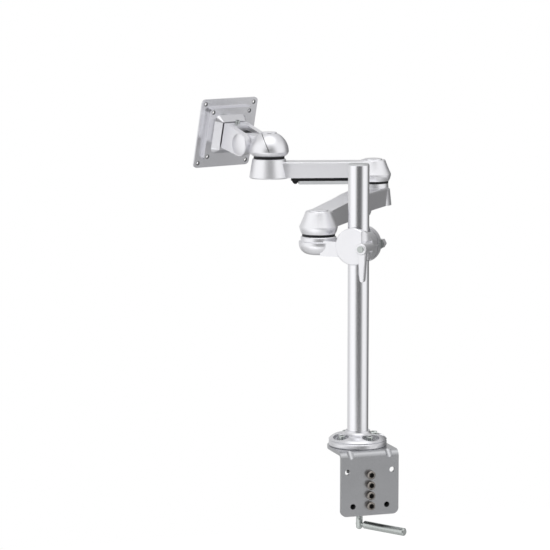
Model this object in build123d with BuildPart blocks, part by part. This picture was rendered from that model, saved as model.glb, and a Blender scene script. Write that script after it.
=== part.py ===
"""Two-link monitor arm on a desk-clamped pole, in millimetres.

+Z is up. The origin is on the pole's axis, in the plane of the desk top that the clamp
grips. The bracket's drilled plate faces -Y. The pose modelled is the rest pose.
"""

import os
from math import cos, radians, sin

from build123d import *

os.makedirs("parts", exist_ok=True)

# desk clamp
desk_pad_thick = 2.0
sheet = 5.0
bracket_width = 92.0
bracket_front = 54.0
bracket_back = 44.0
bracket_drop = 91.0
bend_radius = 10.0
gusset_radius = 5.2
gusset_depth = 3.4
plate_corner = 9.0
back_round = 43.0
plate_hole = 8.5
upper_row_spacing = 71.0
upper_row_height = -23.0
lower_row_spacing = 54.0
lower_row_height = -76.0
jaw_screw_pitch = 15.8
jaw_screw_middle = -52.0
jaw_width = 46.0
shelf_width = 74.0
shelf_tip = 38.0
jaw_neck = -62.0
jaw_leg = 8.0
jaw_shelf = 12.0
jaw_bottom = -85.0
jaw_reach = 20.0
desk_gap = 28.0
screw_radius = 5.0
screw_depth = -9.0
screw_end = -122.0
tommy_height = -114.0
tommy_yaw = -58.0
tommy_length = 86.0
tommy_radius = 6.0

# pole and foot
pole_radius = 16.0
pole_wall = 2.5
pole_top = 433.0
foot_radius = 44.0
foot_ring_height = 8.0
foot_height = 14.5
foot_screw_circle = 30.0
foot_screw_yaw = -72.5
foot_screw_count = 4

# pole collar and its bracket
collar_height = 312.0
collar_yaw = 137.1
collar_radius = 28.0
collar_half = 24.0
collar_bore = 18.6
collar_slit = 2.5
slit_offset = -11.0
stud_offset = -22.8
stud_radius = 4.0
lever_reach = 50.0
shoulder_reach = 65.4
bar_width = 43.0
bar_drop = 17.0
bar_rise = 6.0
bowl_radius = 30.0
bowl_rise = 17.0
seat_radius = 27.2

# swivel joints
shoulder_rise = 10.5
ring_radius = 25.0
ring_height = 4.0
pin_radius = 6.0
running_gap = 0.05
bell_height = 34.0
bell_flare = 29.2
bell_neck = 20.0
nut_cavity = 10.9
cap_radius = 14.2

# arms
lower_length = 296.6
slope_inset = 96.6
strip_inset = 150.0
strip_width = 20.0
strip_depth = 3.0
strip_gap = 0.2
lower_yaw = 53.3
lower_lift = 10.5
lower_deep = 35.0
elbow_step = 6.0
elbow_rise = 6.3
lower_half = 17.5
elbow_boss = 27.5
upper_length = 168.3
upper_yaw = 164.9
upper_lift = 10.2
upper_deep = 25.8
swivel_rise = 4.4
upper_half = 18.5
swivel_boss_top = 27.2
swivel_boss_base = 32.0
cover_drop = 11.0
cover_inset = 82.6
cover_width = 25.0
guide_inset = 70.6
guide_width = 23.4
cable_inset = 84.0
cable_width = 12.0

# head and mounting plate
head_yaw = 111.2
dome_radius = 31.8
hinge_reach = 49.0
hinge_rise = 20.8
tilt = 13.0
barrel_radius = 17.5
cheek_inside = 13.0
cheek_thick = 10.0
cheek_radius = 19.0
yoke_base = 26.0
yoke_end = 43.5
pivot_screw_reach = 38.7
plate_reach = 66.5
plate_size = 116.0
plate_sheet = 2.5
step_one = 7.0
step_two = 11.0
raised_base = 65.0
raised_taper = 37.7
vesa_large = 100.0
vesa_small = 75.0
vesa_hole = 5.0


def heading(yaw):
    return Vector(cos(radians(yaw)), sin(radians(yaw)), 0)


def level(point, yaw, height):
    """A horizontal plane with its x axis along yaw."""
    return Plane((point.X, point.Y, height), x_dir=heading(yaw), z_dir=(0, 0, 1))


def upright(point, yaw):
    """A vertical plane through a point, x along yaw and y the height above the desk."""
    return Plane((point.X, point.Y, 0), x_dir=heading(yaw), z_dir=heading(yaw - 90))


def vertical_axis(point):
    return Axis((point.X, point.Y, 0), (0, 0, 1))


pole_point = Vector(0, 0, 0)
screw_point = Vector(0, screw_depth, 0)
bar_bottom = collar_height - bar_drop
bar_top = collar_height + bar_rise
shoulder_seat = collar_height + shoulder_rise
lower_bottom = shoulder_seat + lower_lift
lower_top = lower_bottom + lower_deep
elbow_seat = lower_top + elbow_rise
upper_bottom = elbow_seat + upper_lift
upper_top = upper_bottom + upper_deep
swivel_seat = upper_top + swivel_rise
hinge_height = swivel_seat + hinge_rise
shoulder = heading(collar_yaw) * shoulder_reach
elbow = shoulder + heading(lower_yaw) * lower_length
swivel = elbow + heading(upper_yaw) * upper_length
hinge = swivel + heading(head_yaw) * hinge_reach + Vector(0, 0, hinge_height)
bracket_top = desk_pad_thick + sheet
bracket_inside = bracket_front - sheet
foot_seat = bracket_top + foot_ring_height
foot_top = foot_seat + foot_height

# Rubber sheet between the bracket and the desk.
with BuildPart() as desk_pad:
    with BuildSketch(Plane.XY):
        with Locations((0, (bracket_back - bracket_inside) / 2 + 2)):
            Rectangle(bracket_width - 6, bracket_back + bracket_inside - 14)
    extrude(amount=desk_pad_thick)
    fillet(desk_pad.edges().filter_by(Axis.Z).group_by(Axis.Y)[-1], back_round - 3)
    fillet(desk_pad.edges().filter_by(Axis.Z).group_by(Axis.Y)[0], 5)
desk_pad.part.label = "desk_pad"
export_step(desk_pad.part, "parts/desk_pad.step")

# Bent steel bracket, with pressed gussets across the bend and its drilled plate.
with BuildPart() as desk_bracket:
    with BuildSketch(Plane.YZ):
        with BuildLine():
            Polyline(
                (-bracket_front, -bracket_drop),
                (-bracket_front, bracket_top),
                (bracket_back, bracket_top),
                (bracket_back, desk_pad_thick),
                (-bracket_inside, desk_pad_thick),
                (-bracket_inside, -bracket_drop),
                close=True,
            )
        make_face()
    extrude(amount=bracket_width / 2, both=True)
    outer_bend = (0, -bracket_front, bracket_top)
    inner_bend = (0, -bracket_inside, desk_pad_thick)
    fillet(desk_bracket.edges().filter_by(Axis.X).sort_by_distance(outer_bend)[0], bend_radius)
    fillet(desk_bracket.edges().filter_by(Axis.X).sort_by_distance(inner_bend)[0], bend_radius - sheet)
    fillet(desk_bracket.edges().filter_by(Axis.Y).group_by(Axis.Z)[0], plate_corner)
    fillet(desk_bracket.edges().filter_by(Axis.Z).group_by(Axis.Y)[-1], back_round)
    with BuildSketch(Plane.XZ.offset(bracket_front)):
        with Locations((0, upper_row_height)):
            with GridLocations(upper_row_spacing, 1, 2, 1):
                Circle(plate_hole / 2)
        with Locations((0, lower_row_height)):
            with GridLocations(lower_row_spacing, 1, 2, 1):
                Circle(plate_hole / 2)
        with Locations((0, jaw_screw_middle)):
            with GridLocations(1, jaw_screw_pitch, 1, 4):
                Circle(4.2)
    extrude(amount=-sheet, mode=Mode.SUBTRACT)
    with BuildSketch(Plane.XY.offset(bracket_top)):
        with PolarLocations(foot_screw_circle, foot_screw_count, foot_screw_yaw):
            Circle(3.2)
    extrude(amount=-sheet, mode=Mode.SUBTRACT)
    bend_out = (bend_radius + gusset_radius - gusset_depth) * 0.7071
    bend_at = (-bracket_front + bend_radius - bend_out, bracket_top - bend_radius + bend_out)
    for side in (-1, 1):
        gusset = Plane(
            (side * bracket_width * 0.33, bend_at[0], bend_at[1]), x_dir=(1, 0, 0), z_dir=(0, 1, 1)
        )
        with BuildSketch(gusset):
            Circle(gusset_radius)
        extrude(amount=2 * bend_radius, both=True, mode=Mode.SUBTRACT)
desk_bracket.part.label = "desk_bracket"
export_step(desk_bracket.part, "parts/desk_bracket.step")

# Lower jaw, an L that is bolted behind the plate and tapped for the clamp screw.
with BuildPart() as clamp_jaw:
    with BuildSketch(Plane.YZ):
        with BuildLine():
            Polyline(
                (-bracket_inside, jaw_bottom),
                (jaw_reach, jaw_bottom),
                (jaw_reach, jaw_bottom + jaw_shelf),
                (-bracket_inside + jaw_leg, jaw_bottom + jaw_shelf),
                (-bracket_inside + jaw_leg, upper_row_height + 4),
                (-bracket_inside, upper_row_height + 4),
                close=True,
            )
        make_face()
    extrude(amount=shelf_width / 2, both=True)
    for side in (-1, 1):
        with BuildSketch(Plane.XY.offset(jaw_bottom)):
            with BuildLine():
                Polyline(
                    (side * shelf_width / 2, -bracket_inside + jaw_leg),
                    (side * shelf_tip / 2, jaw_reach),
                    (side * shelf_width / 2, jaw_reach),
                    close=True,
                )
            make_face()
        extrude(amount=jaw_shelf, mode=Mode.SUBTRACT)
    with BuildSketch(Plane.XZ.offset(bracket_inside)):
        with Locations((0, jaw_neck + 30)):
            with GridLocations(jaw_width + 30, 1, 2, 1):
                Rectangle(30, 60)
    extrude(amount=-jaw_leg - 2, mode=Mode.SUBTRACT)
    inner_corner = (0, -bracket_inside + jaw_leg, jaw_bottom + jaw_shelf)
    fillet(clamp_jaw.edges().filter_by(Axis.X).sort_by_distance(inner_corner)[0], 8)
    fillet(clamp_jaw.edges().filter_by(Axis.Z).group_by(Axis.Y)[-1], jaw_reach - 4)
    fillet(clamp_jaw.edges().filter_by(Axis.Y).group_by(Axis.Z)[-1], 5)
    with BuildSketch(level(screw_point, 0, jaw_bottom)):
        Circle(screw_radius + running_gap)
    extrude(amount=jaw_shelf, mode=Mode.SUBTRACT)
    with BuildSketch(Plane.XZ.offset(bracket_inside)):
        with Locations((0, jaw_screw_middle)):
            with GridLocations(1, jaw_screw_pitch, 1, 4):
                Circle(4)
    extrude(amount=-jaw_leg, mode=Mode.SUBTRACT)
    with BuildSketch(Plane.XZ.offset(bracket_inside)):
        with Locations((0, lower_row_height)):
            with GridLocations(lower_row_spacing, 1, 2, 1):
                Circle(plate_hole / 2 + 0.5)
    extrude(amount=-jaw_leg - 3, mode=Mode.SUBTRACT)
clamp_jaw.part.label = "clamp_jaw"
export_step(clamp_jaw.part, "parts/clamp_jaw.step")

# Four socket head screws that hold the jaw to the plate.
with BuildPart() as jaw_screws:
    with BuildSketch(Plane.XZ.offset(bracket_front)):
        with Locations((0, jaw_screw_middle)):
            with GridLocations(1, jaw_screw_pitch, 1, 4):
                Circle(6.4)
    extrude(amount=8)
    chamfer(jaw_screws.faces().filter_by(Axis.Y).group_by(Axis.Y)[0].edges(), 0.8)
    with BuildSketch(Plane.XZ.offset(bracket_front)):
        with Locations((0, jaw_screw_middle)):
            with GridLocations(1, jaw_screw_pitch, 1, 4):
                Circle(3.95)
    extrude(amount=-sheet - jaw_leg + 0.5)
    with BuildSketch(Plane.XZ.offset(bracket_front + 8)):
        with Locations((0, jaw_screw_middle)):
            with GridLocations(1, jaw_screw_pitch, 1, 4):
                RegularPolygon(3.4, 6)
    extrude(amount=-4.5, mode=Mode.SUBTRACT)
jaw_screws.part.label = "jaw_screws"
export_step(jaw_screws.part, "parts/jaw_screws.step")

# Rubber facing of the pressure plate.
with BuildPart() as pressure_pad:
    with BuildSketch(level(screw_point, 0, -desk_gap)):
        Circle(19)
    extrude(amount=-2)
pressure_pad.part.label = "pressure_pad"
export_step(pressure_pad.part, "parts/pressure_pad.step")

# Pressure plate, carried on the pivot at the screw's tip.
pressure_top = -desk_gap - 2
with BuildPart() as pressure_plate:
    with BuildSketch(upright(screw_point, 0)):
        with BuildLine():
            Polyline(
                (4.05, pressure_top - 10),
                (9, pressure_top - 10),
                (10.5, pressure_top - 4),
                (20, pressure_top - 4),
                (20, pressure_top),
                (0, pressure_top),
                (0, pressure_top - 4),
                (4.05, pressure_top - 4),
                close=True,
            )
        make_face()
    revolve(axis=vertical_axis(screw_point))
pressure_plate.part.label = "pressure_plate"
export_step(pressure_plate.part, "parts/pressure_plate.step")

# Clamp screw, with a cross hole for the tommy bar.
with BuildPart() as clamp_screw:
    with BuildSketch(upright(screw_point, 0)):
        with BuildLine():
            Polyline(
                (0, screw_end),
                (screw_radius - 2.5, screw_end),
                (screw_radius, screw_end + 2.5),
                (screw_radius, pressure_top - 10.3),
                (4.0, pressure_top - 10.3),
                (4.0, pressure_top - 4.5),
                (0, pressure_top - 4.5),
                close=True,
            )
        make_face()
    revolve(axis=vertical_axis(screw_point))
    with BuildSketch(upright(screw_point, tommy_yaw - 90)):
        with Locations((0, tommy_height)):
            Circle(2.5)
    extrude(amount=20, both=True, mode=Mode.SUBTRACT)
clamp_screw.part.label = "clamp_screw"
export_step(clamp_screw.part, "parts/clamp_screw.step")

# Tommy bar, its turned-down end pressed into the clamp screw.
with BuildPart() as tommy_bar:
    with BuildSketch(upright(screw_point, tommy_yaw)):
        with BuildLine():
            Polyline(
                (-5, tommy_height),
                (-5, tommy_height + 2.45),
                (screw_radius + 4.4, tommy_height + 2.45),
                (screw_radius + 4.4, tommy_height + tommy_radius - 1.4),
                (screw_radius + 5.8, tommy_height + tommy_radius),
                (tommy_length - 1.5, tommy_height + tommy_radius),
                (tommy_length, tommy_height + tommy_radius - 1.5),
                (tommy_length, tommy_height),
                close=True,
            )
        make_face()
    revolve(axis=Axis((0, screw_depth, tommy_height), heading(tommy_yaw)))
tommy_bar.part.label = "tommy_bar"
export_step(tommy_bar.part, "parts/tommy_bar.step")

# Lower ring of the pole's foot.
with BuildPart() as foot_ring:
    with BuildSketch(Plane.XZ):
        with BuildLine():
            Polyline(
                (pole_radius + 0.1, bracket_top),
                (foot_radius - 1, bracket_top),
                (foot_radius, bracket_top + 1),
                (foot_radius, foot_seat - 1.6),
                (foot_radius - 1.4, foot_seat),
                (pole_radius + 0.1, foot_seat),
                close=True,
            )
        make_face()
    revolve(axis=Axis.Z)
    with BuildSketch(Plane.XY.offset(bracket_top)):
        with PolarLocations(foot_screw_circle, foot_screw_count, foot_screw_yaw):
            Circle(3.2)
    extrude(amount=foot_ring_height, mode=Mode.SUBTRACT)
foot_ring.part.label = "foot_ring"
export_step(foot_ring.part, "parts/foot_ring.step")

# Cast foot with a collar for the pole and four scooped screw pockets.
with BuildPart() as pole_foot:
    with BuildSketch(Plane.XZ):
        with BuildLine():
            Line((pole_radius + 0.05, foot_seat), (foot_radius - 1.2, foot_seat))
            Line((foot_radius - 1.2, foot_seat), (foot_radius, foot_seat + 1.6))
            ThreePointArc(
                (foot_radius, foot_seat + 1.6),
                (foot_radius - 6, foot_seat + 6.4),
                (pole_radius + 8, foot_seat + 9.4),
            )
            ThreePointArc(
                (pole_radius + 8, foot_seat + 9.4),
                (pole_radius + 4.6, foot_seat + 11),
                (pole_radius + 2.8, foot_top),
            )
            Line((pole_radius + 2.8, foot_top), (pole_radius + 0.05, foot_top))
            Line((pole_radius + 0.05, foot_top), (pole_radius + 0.05, foot_seat))
        make_face()
    revolve(axis=Axis.Z)
    with BuildSketch(Plane.XY.offset(foot_seat + 3)):
        with PolarLocations(foot_screw_circle + 2, foot_screw_count, foot_screw_yaw):
            Ellipse(9.5, 15)
    extrude(amount=foot_height, mode=Mode.SUBTRACT)
    with BuildSketch(Plane.XY.offset(foot_seat)):
        with PolarLocations(foot_screw_circle, foot_screw_count, foot_screw_yaw):
            Circle(3.2)
    extrude(amount=foot_height, mode=Mode.SUBTRACT)
    with BuildSketch(upright(pole_point, -108)):
        with Locations((0, foot_seat + 9)):
            Circle(2.6)
    extrude(amount=-foot_radius, mode=Mode.SUBTRACT)
    lock_seat = heading(-18) * (pole_radius + 8.5) + Vector(0, 0, foot_seat + 9)
    with BuildSketch(Plane(lock_seat, z_dir=heading(-18))):
        Circle(4.8)
    extrude(amount=foot_radius, mode=Mode.SUBTRACT)
pole_foot.part.label = "pole_foot"
export_step(pole_foot.part, "parts/pole_foot.step")

# Four screws through the foot into the bracket.
with BuildPart() as foot_screws:
    with BuildSketch(Plane.XY.offset(foot_seat + 3)):
        with PolarLocations(foot_screw_circle, foot_screw_count, foot_screw_yaw):
            Circle(5)
    extrude(amount=6)
    chamfer(foot_screws.faces().filter_by(Axis.Z).group_by(Axis.Z)[-1].edges(), 0.6)
    with BuildSketch(Plane.XY.offset(foot_seat + 3)):
        with PolarLocations(foot_screw_circle, foot_screw_count, foot_screw_yaw):
            Circle(3)
    extrude(amount=-foot_seat - 3 + desk_pad_thick + 0.5)
    with BuildSketch(Plane.XY.offset(foot_seat + 9)):
        with PolarLocations(foot_screw_circle, foot_screw_count, foot_screw_yaw):
            RegularPolygon(2.8, 6)
    extrude(amount=-3.5, mode=Mode.SUBTRACT)
foot_screws.part.label = "foot_screws"
export_step(foot_screws.part, "parts/foot_screws.step")

# Screw that pinches the pole in the foot's collar.
with BuildPart() as pole_lock_screw:
    with BuildSketch(upright(pole_point, -18)):
        with BuildLine():
            Polyline(
                (pole_radius + 0.02, foot_seat + 9),
                (pole_radius + 0.02, foot_seat + 11.5),
                (pole_radius + 8.6, foot_seat + 11.5),
                (pole_radius + 8.6, foot_seat + 13.2),
                (pole_radius + 12.6, foot_seat + 13.2),
                (pole_radius + 13.4, foot_seat + 12.4),
                (pole_radius + 13.4, foot_seat + 9),
                close=True,
            )
        make_face()
    revolve(axis=Axis((0, 0, foot_seat + 9), heading(-18)))
pole_lock_screw.part.label = "pole_lock_screw"
export_step(pole_lock_screw.part, "parts/pole_lock_screw.step")

# Aluminium pole.
with BuildPart() as pole:
    with BuildSketch(Plane.XY.offset(bracket_top)):
        Circle(pole_radius)
        Circle(pole_radius - pole_wall, mode=Mode.SUBTRACT)
    extrude(amount=pole_top - bracket_top)
    chamfer(pole.edges().group_by(Axis.Z)[-1].sort_by(SortBy.LENGTH)[-1], 0.5)
pole.part.label = "pole"
export_step(pole.part, "parts/pole.step")

# Moulded plug in the pole's open end.
with BuildPart() as pole_cap:
    with BuildSketch(Plane.XY.offset(pole_top)):
        Circle(pole_radius - 0.4)
    extrude(amount=2)
    chamfer(pole_cap.edges().group_by(Axis.Z)[-1], 0.8)
    with BuildSketch(Plane.XY.offset(pole_top)):
        Circle(pole_radius - pole_wall - 0.05)
        Circle(pole_radius - pole_wall - 2.5, mode=Mode.SUBTRACT)
    extrude(amount=-14)
pole_cap.part.label = "pole_cap"
export_step(pole_cap.part, "parts/pole_cap.step")

# Split nylon bush between the pole and the collar.
with BuildPart() as pole_bush:
    with BuildSketch(level(pole_point, collar_yaw, collar_height)):
        Circle(collar_bore - running_gap)
        Circle(pole_radius + running_gap, mode=Mode.SUBTRACT)
        with Locations((-collar_bore, 0)):
            Rectangle(collar_bore, 3, mode=Mode.SUBTRACT)
    extrude(amount=18, both=True)
pole_bush.part.label = "pole_bush"
export_step(pole_bush.part, "parts/pole_bush.step")

# Pole collar with its slit ears, and the bar out to the first swivel's seat.
collar_side = upright(pole_point, collar_yaw)
collar_middle = level(pole_point, collar_yaw, collar_height)
with BuildPart() as collar_body:
    with BuildSketch(collar_side):
        with Locations((0, collar_height)):
            Circle(collar_radius)
    extrude(amount=collar_half, both=True)
    chamfer(collar_body.edges().filter_by(GeomType.CIRCLE), 1.2)
    with BuildSketch(level(pole_point, collar_yaw, bar_bottom)):
        with Locations((shoulder_reach / 2 - 6, 0)):
            Rectangle(shoulder_reach - 12, bar_width)
    extrude(amount=bar_top - bar_bottom)
    with BuildSketch(upright(shoulder, collar_yaw)):
        with BuildLine():
            Line((0, bar_bottom), (bowl_radius - 16, bar_bottom))
            ThreePointArc(
                (bowl_radius - 16, bar_bottom),
                (bowl_radius - 4.7, bar_bottom + 5),
                (bowl_radius, bar_bottom + bowl_rise),
            )
            Polyline(
                (bowl_radius, bar_bottom + bowl_rise),
                (bowl_radius, shoulder_seat - 8),
                (seat_radius, shoulder_seat - 6.5),
                (seat_radius, shoulder_seat - 1.5),
                (seat_radius - 1.5, shoulder_seat),
                (0, shoulder_seat),
                (0, bar_bottom),
            )
        make_face()
    revolve(axis=vertical_axis(shoulder))
    with BuildSketch(level(pole_point, collar_yaw, collar_height)):
        Circle(collar_bore)
    extrude(amount=2 * collar_radius, both=True, mode=Mode.SUBTRACT)
    with BuildSketch(collar_middle):
        with Locations((-collar_radius, slit_offset)):
            Rectangle(2 * collar_radius - 20, collar_slit)
        with Locations((-collar_radius - 2.5, collar_half + 2)):
            Circle(16.5)
        with Locations((-collar_radius - 8.6, 0)):
            Rectangle(20, 4 * collar_half)
    extrude(amount=2 * collar_radius, both=True, mode=Mode.SUBTRACT)
    with BuildSketch(collar_side.offset(-collar_half - 2)):
        with Locations((stud_offset, collar_height)):
            Circle(8.6)
    extrude(amount=16, mode=Mode.SUBTRACT)
    with BuildSketch(collar_side):
        with Locations((stud_offset, collar_height)):
            Circle(stud_radius + 0.3)
    extrude(amount=2 * collar_half, both=True, mode=Mode.SUBTRACT)
    with BuildSketch(level(shoulder, collar_yaw, bar_bottom)):
        Circle(11.2)
    extrude(amount=6, mode=Mode.SUBTRACT)
    with BuildSketch(level(shoulder, collar_yaw, bar_bottom)):
        Circle(pin_radius + 0.02)
    extrude(amount=shoulder_seat - bar_bottom, mode=Mode.SUBTRACT)
collar_body.part.label = "collar_body"
export_step(collar_body.part, "parts/collar_body.step")

# Stud across the collar's slit.
ear_face = collar_half - 14.0
boss_end = ear_face + 18.5
with BuildPart() as clamp_stud:
    with BuildSketch(collar_side.offset(collar_half + 20)):
        with Locations((stud_offset, collar_height)):
            Circle(stud_radius)
    extrude(amount=-collar_half - 20 - boss_end - 10)
    chamfer(clamp_stud.edges(), 0.6)
clamp_stud.part.label = "clamp_stud"
export_step(clamp_stud.part, "parts/clamp_stud.step")

# Washer and round nut on the stud's far end.
with BuildPart() as stud_washer:
    with BuildSketch(collar_side.offset(collar_half)):
        with Locations((stud_offset, collar_height)):
            Circle(8)
            Circle(stud_radius + 0.2, mode=Mode.SUBTRACT)
    extrude(amount=1.6)
stud_washer.part.label = "stud_washer"
export_step(stud_washer.part, "parts/stud_washer.step")

with BuildPart() as stud_nut:
    with BuildSketch(collar_side.offset(collar_half + 1.6)):
        with Locations((stud_offset, collar_height)):
            RegularPolygon(7.4, 6)
            Circle(stud_radius + 0.02, mode=Mode.SUBTRACT)
    extrude(amount=14)
    far_axis = Axis((0, 0, collar_height), collar_side.z_dir)
    chamfer(stud_nut.faces().sort_by(far_axis)[-1].edges().filter_by(GeomType.LINE), 0.8)
stud_nut.part.label = "stud_nut"
export_step(stud_nut.part, "parts/stud_nut.step")

# Spacer boss between the near ear and the clamping lever.
with BuildPart() as lever_boss:
    with BuildSketch(collar_side.offset(-ear_face)):
        with Locations((stud_offset, collar_height)):
            Circle(7.6)
            Circle(stud_radius + 0.1, mode=Mode.SUBTRACT)
    extrude(amount=ear_face - boss_end)
    chamfer(lever_boss.edges().filter_by(GeomType.CIRCLE).sort_by(SortBy.LENGTH)[-2:], 0.7)
lever_boss.part.label = "lever_boss"
export_step(lever_boss.part, "parts/lever_boss.step")

# Clamping lever, a round hub with a tapered handle.
hub_face = boss_end + 0.4
lever_axis = Axis((0, 0, collar_height), collar_side.z_dir * -1)
with BuildPart() as lever_handle:
    with BuildSketch(collar_side.offset(-hub_face)):
        with Locations((stud_offset, collar_height)):
            Circle(8.6)
    extrude(amount=-19)
    with BuildSketch(collar_side.offset(-hub_face - 10)):
        with Locations((stud_offset, collar_height)):
            Circle(6.6)
        with Locations((stud_offset, collar_height - lever_reach + 3.4)):
            Circle(3.4)
        make_hull()
    extrude(amount=4.5, both=True)
    fillet(lever_handle.edges().group_by(Axis.Z)[0], 1.2)
    fillet(lever_handle.faces().sort_by(lever_axis)[-1].edges(), 2)
    with BuildSketch(collar_side.offset(-hub_face)):
        with Locations((stud_offset, collar_height)):
            Circle(stud_radius + running_gap)
    extrude(amount=-10.5, mode=Mode.SUBTRACT)
    with BuildSketch(collar_side.offset(-hub_face - 10)):
        with Locations((stud_offset, collar_height)):
            Circle(2.6)
    extrude(amount=-10, mode=Mode.SUBTRACT)
lever_handle.part.label = "lever_handle"
export_step(lever_handle.part, "parts/lever_handle.step")

# Button screw that keeps the lever on the stud.
with BuildPart() as lever_button:
    with BuildSketch(collar_side.offset(-hub_face - 19)):
        with Locations((stud_offset, collar_height)):
            Circle(5.2)
    extrude(amount=-1.8)
    fillet(lever_button.faces().sort_by(lever_axis)[-1].edges(), 1)
    with BuildSketch(collar_side.offset(-hub_face - 19)):
        with Locations((stud_offset, collar_height)):
            Circle(2.55)
    extrude(amount=8)
lever_button.part.label = "lever_button"
export_step(lever_button.part, "parts/lever_button.step")

# The three upright swivels: headed pin, friction ring, spring washers, nut and cap.
elbow_underside = lower_bottom + elbow_step
swivel_underside = upper_bottom - 1.2
floor_rise = 17.5
swivels = (
    ("shoulder", shoulder, bar_bottom, shoulder_seat, bell_height),
    ("elbow", elbow, elbow_underside, elbow_seat, bell_height),
    ("swivel", swivel, swivel_underside, swivel_seat, 37.1),
)
for name, point, underside, seat, height in swivels:
    side = upright(point, 0)
    floor = seat + ring_height + floor_rise
    cap_seat = seat + ring_height + height
    with BuildPart() as swivel_pin:
        with BuildSketch(side):
            with BuildLine():
                Polyline(
                    (0, underside + 0.4),
                    (10, underside + 0.4),
                    (11, underside + 1.4),
                    (11, underside + 6),
                    (pin_radius, underside + 6),
                    (pin_radius, floor + 12),
                    (pin_radius - 1, floor + 13),
                    (0, floor + 13),
                    close=True,
                )
            make_face()
        revolve(axis=vertical_axis(point))
    swivel_pin.part.label = name + "_pin"
    export_step(swivel_pin.part, "parts/" + name + "_pin.step")

    with BuildPart() as friction_ring:
        with BuildSketch(level(point, 0, seat)):
            Circle(ring_radius)
            Circle(pin_radius + 0.3, mode=Mode.SUBTRACT)
        extrude(amount=ring_height)
        chamfer(friction_ring.edges().filter_by(GeomType.CIRCLE).sort_by(SortBy.LENGTH)[-2:], 0.5)
    friction_ring.part.label = name + "_ring"
    export_step(friction_ring.part, "parts/" + name + "_ring.step")

    with BuildPart() as spring_washers:
        for lift in (0, 1.7):
            with BuildSketch(side):
                with BuildLine():
                    Polyline(
                        (pin_radius + 0.2, floor + lift),
                        (9.5, floor + lift),
                        (10.3, floor + lift + 0.8),
                        (10.3, floor + lift + 1.6),
                        (pin_radius + 0.2, floor + lift + 1.6),
                        close=True,
                    )
                make_face()
            revolve(axis=vertical_axis(point))
    spring_washers.part.label = name + "_springs"
    export_step(spring_washers.part, "parts/" + name + "_springs.step")

    with BuildPart() as swivel_nut:
        with BuildSketch(level(point, 15, floor + 3.4)):
            RegularPolygon(9.8, 6)
            Circle(pin_radius + 0.02, mode=Mode.SUBTRACT)
        extrude(amount=7.6)
    swivel_nut.part.label = name + "_nut"
    export_step(swivel_nut.part, "parts/" + name + "_nut.step")

    with BuildPart() as swivel_cap:
        with BuildSketch(level(point, 0, cap_seat)):
            Circle(cap_radius if height == bell_height else nut_cavity + 1.3)
        extrude(amount=1.8)
        fillet(swivel_cap.edges().group_by(Axis.Z)[-1], 0.9)
        with BuildSketch(level(point, 0, cap_seat)):
            Circle(nut_cavity - 0.1)
            Circle(nut_cavity - 2, mode=Mode.SUBTRACT)
        extrude(amount=-2.4)
    swivel_cap.part.label = name + "_cap"
    export_step(swivel_cap.part, "parts/" + name + "_cap.step")


def bell_profile(plane, base):
    """The flared housing over a swivel: rim, flare, shoulder, and the nut's well."""
    with BuildSketch(plane) as bell:
        with BuildLine():
            Line((pin_radius + running_gap, base), (bell_flare - 3.4, base))
            ThreePointArc(
                (bell_flare - 3.4, base),
                (bell_flare - 1.1, base + 5.2),
                (bell_flare, base + 10.9),
            )
            ThreePointArc(
                (bell_flare, base + 10.9),
                ((bell_flare + bell_neck) / 2 - 0.5, base + 22.3),
                (bell_neck, base + bell_height - 1.2),
            )
            Polyline(
                (bell_neck, base + bell_height - 1.2),
                (bell_neck - 1.2, base + bell_height),
                (nut_cavity, base + bell_height),
                (nut_cavity, base + floor_rise),
                (pin_radius + running_gap, base + floor_rise),
                (pin_radius + running_gap, base),
            )
        make_face()
    return bell.sketch


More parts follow.
